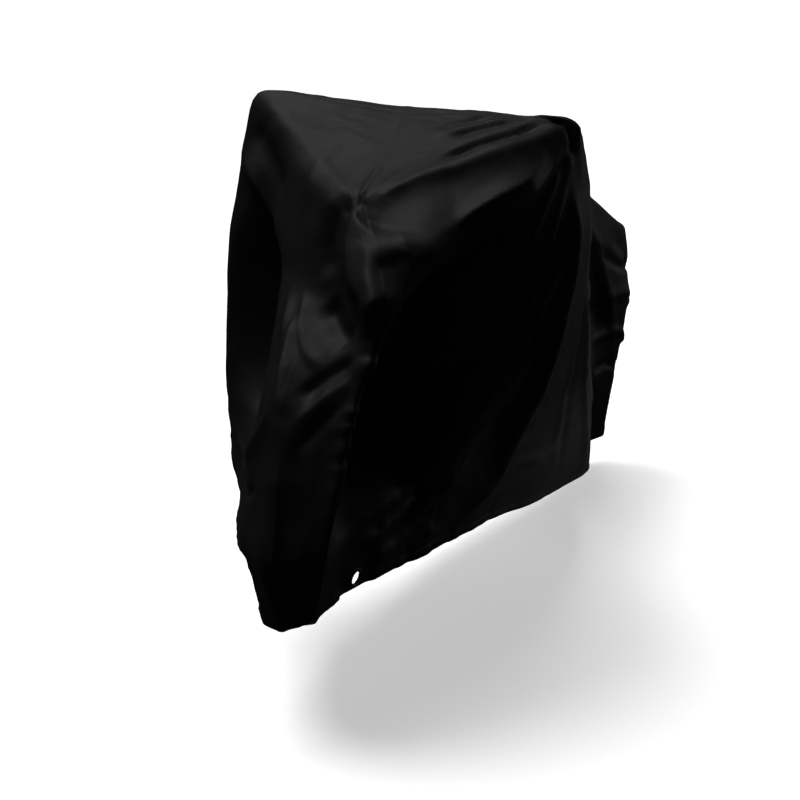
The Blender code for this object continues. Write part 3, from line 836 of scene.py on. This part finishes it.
def buildCover():
    outer, inner = clothGrids()
    print("cloth folded")
    for side in outward:
        cells = stripCells(side)
        panel = closedSheet(side + "Panel", side, outer[side], inner[side], ~cells,
                            clothMaterial(side + " panel cloth"))
        stripOuter, stripInner = outer[side].copy(), inner[side].copy()
        holed = openHole(side, stripOuter, stripInner, cells)
        strip = closedSheet(side + "EyeletStrip", side, stripOuter, stripInner, holed,
                            clothMaterial(side + " strip cloth"))
        ring = eyeletRing(side + "EyeletRing", side, metalMaterial(side + " ring metal"))
        for piece, node, slot in ((panel, "_panel", "_cloth"), (strip, "_eyelet_strip", "_strip"),
                                  (ring, "_eyelet_ring", None)):
            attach(piece, "root")
            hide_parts(side + node)
        print(side, "side made")


buildCover()

studio = {
    "ground": -shape["origin"][2],
    "cameraPlace": (0.9073, -1.4727, -0.0850),
    "cameraTurn": (math.radians(90 - 15.02), 0, math.radians(32.08)),  # tilted down, and round
    "lens": 41.04,
    "sensor": 36,
    "turns": 72,  # sides of the round floor and wall
    "floorRings": (0.0002, 1.0, 2.0, 3.5, 5.0),  # radii, the first as good as closed
    "floorColour": (0.82, 0.82, 0.82, 1),
    "floorRoughness": 0.85,
    "floorSpecular": 0.1,
    "floorGlow": 0.50,
    "wallCurve": 3.0,
    "wallSteps": 14,
    "wallTop": 9.0,
    "wallGlow": 1.0,
    "air": 0.02,  # how bright the world itself is
    # each sun's name, where it shines from and its power
    "suns": [("keyLight", (-0.38, -0.12, 0.92), 1.9), ("topLight", (-0.14, 0.12, 0.98), 1.1)],
    "sunSoftness": math.radians(30),
    # each lamp's name, place, aim, size, power and cone
    "lamps": [
        ("sideLight", (2.4, 4.1, 0.5), (0.22, 0.48, -0.58), 1.2, 165, math.radians(16)),
        ("upperLight", (3.0, 1.05, -0.25), (0.27, 0.37, -0.24), 0.4, 230, math.radians(9)),
        ("panelLight", (3.0, 0.95, -0.45), (0.20, 0.52, -0.66), 0.5, 520, math.radians(11)),
        ("rearLight", (-2.0, 4.2, 1.2), (0.0, 0.8, -0.4), 1.8, 30, None),
        ("frontLight", (0.3, -3.4, -0.9), (0, 0.0, -0.6), 1.0, 4, None),
    ],
    "coneBlend": 0.7,
}


def hangLight(name, kind, power, comesFrom):
    # a lamp or a sun, by the direction that its light comes from
    data = bpy.data.lights.new(name, kind)
    data.energy = power
    light = bpy.data.objects.new(name, data)
    light.rotation_euler = Vector(comesFrom).to_track_quat("Z", "Y").to_euler()
    bpy.context.collection.objects.link(light)
    return light


def buildLights():
    for name, comesFrom, power in studio["suns"]:
        hangLight(name, "SUN", power, comesFrom).data.angle = studio["sunSoftness"]
    for name, place, aim, size, power, cone in studio["lamps"]:
        lamp = hangLight(name, "SPOT" if cone else "AREA", power, Vector(place) - Vector(aim))
        lamp.location = place
        lamp.visible_camera = False
        if cone:
            lamp.data.shadow_soft_size = size / 2
            lamp.data.spot_size = cone
            lamp.data.spot_blend = studio["coneBlend"]
        else:
            lamp.data.size = size
    world = bpy.data.worlds.new("studioAir")
    world.use_nodes = True
    air = world.node_tree.nodes["Background"]
    air.inputs["Color"].default_value = (1, 1, 1, 1)
    air.inputs["Strength"].default_value = studio["air"]
    bpy.context.scene.world = world


def turned(name, profile, glow):
    # a round surface about Z, seen by the camera alone
    turns = studio["turns"]
    verts = [(r * math.cos(k * math.tau / turns), r * math.sin(k * math.tau / turns),
              studio["ground"] + z) for k in range(turns) for r, z in profile]
    n = len(profile)
    faces = []
    for k in range(turns):
        near, far = k * n, (k + 1) % turns * n
        faces += [(near + m + 1, far + m + 1, far + m, near + m) for m in range(n - 1)]
    mesh = bpy.data.meshes.new(name)
    mesh.from_pydata(verts, [], faces)
    mesh.shade_smooth()
    piece = bpy.data.objects.new(name, mesh)
    paint = Paint(name + " paint")
    mesh.materials.append(paint.finish({"Base Color": studio["floorColour"],
                                        "Roughness": studio["floorRoughness"],
                                        "Specular IOR Level": studio["floorSpecular"],
                                        "Emission Color": (1, 1, 1, 1),
                                        "Emission Strength": glow}))
    bpy.context.collection.objects.link(piece)
    piece.visible_glossy = False
    piece.visible_diffuse = False


def buildFloor():
    turned("floor", [(r, 0.0) for r in studio["floorRings"]], studio["floorGlow"])
    edge, bend = studio["floorRings"][-1], studio["wallCurve"]
    curve = [(edge + bend * math.sin(a), bend - bend * math.cos(a))
             for a in np.linspace(0, math.pi / 2, studio["wallSteps"])]
    turned("wall", curve + [(edge + bend, studio["wallTop"])], studio["wallGlow"])


def placeCamera():
    data = bpy.data.cameras.new("mainCamera")
    data.lens = studio["lens"]
    data.sensor_width = studio["sensor"]
    camera = bpy.data.objects.new("mainCamera", data)
    camera.location = studio["cameraPlace"]
    camera.rotation_euler = studio["cameraTurn"]
    bpy.context.collection.objects.link(camera)
    bpy.context.scene.camera = camera
    bpy.context.scene.view_settings.view_transform = "Standard"


buildFloor()
buildLights()
placeCamera()
print("studio made")
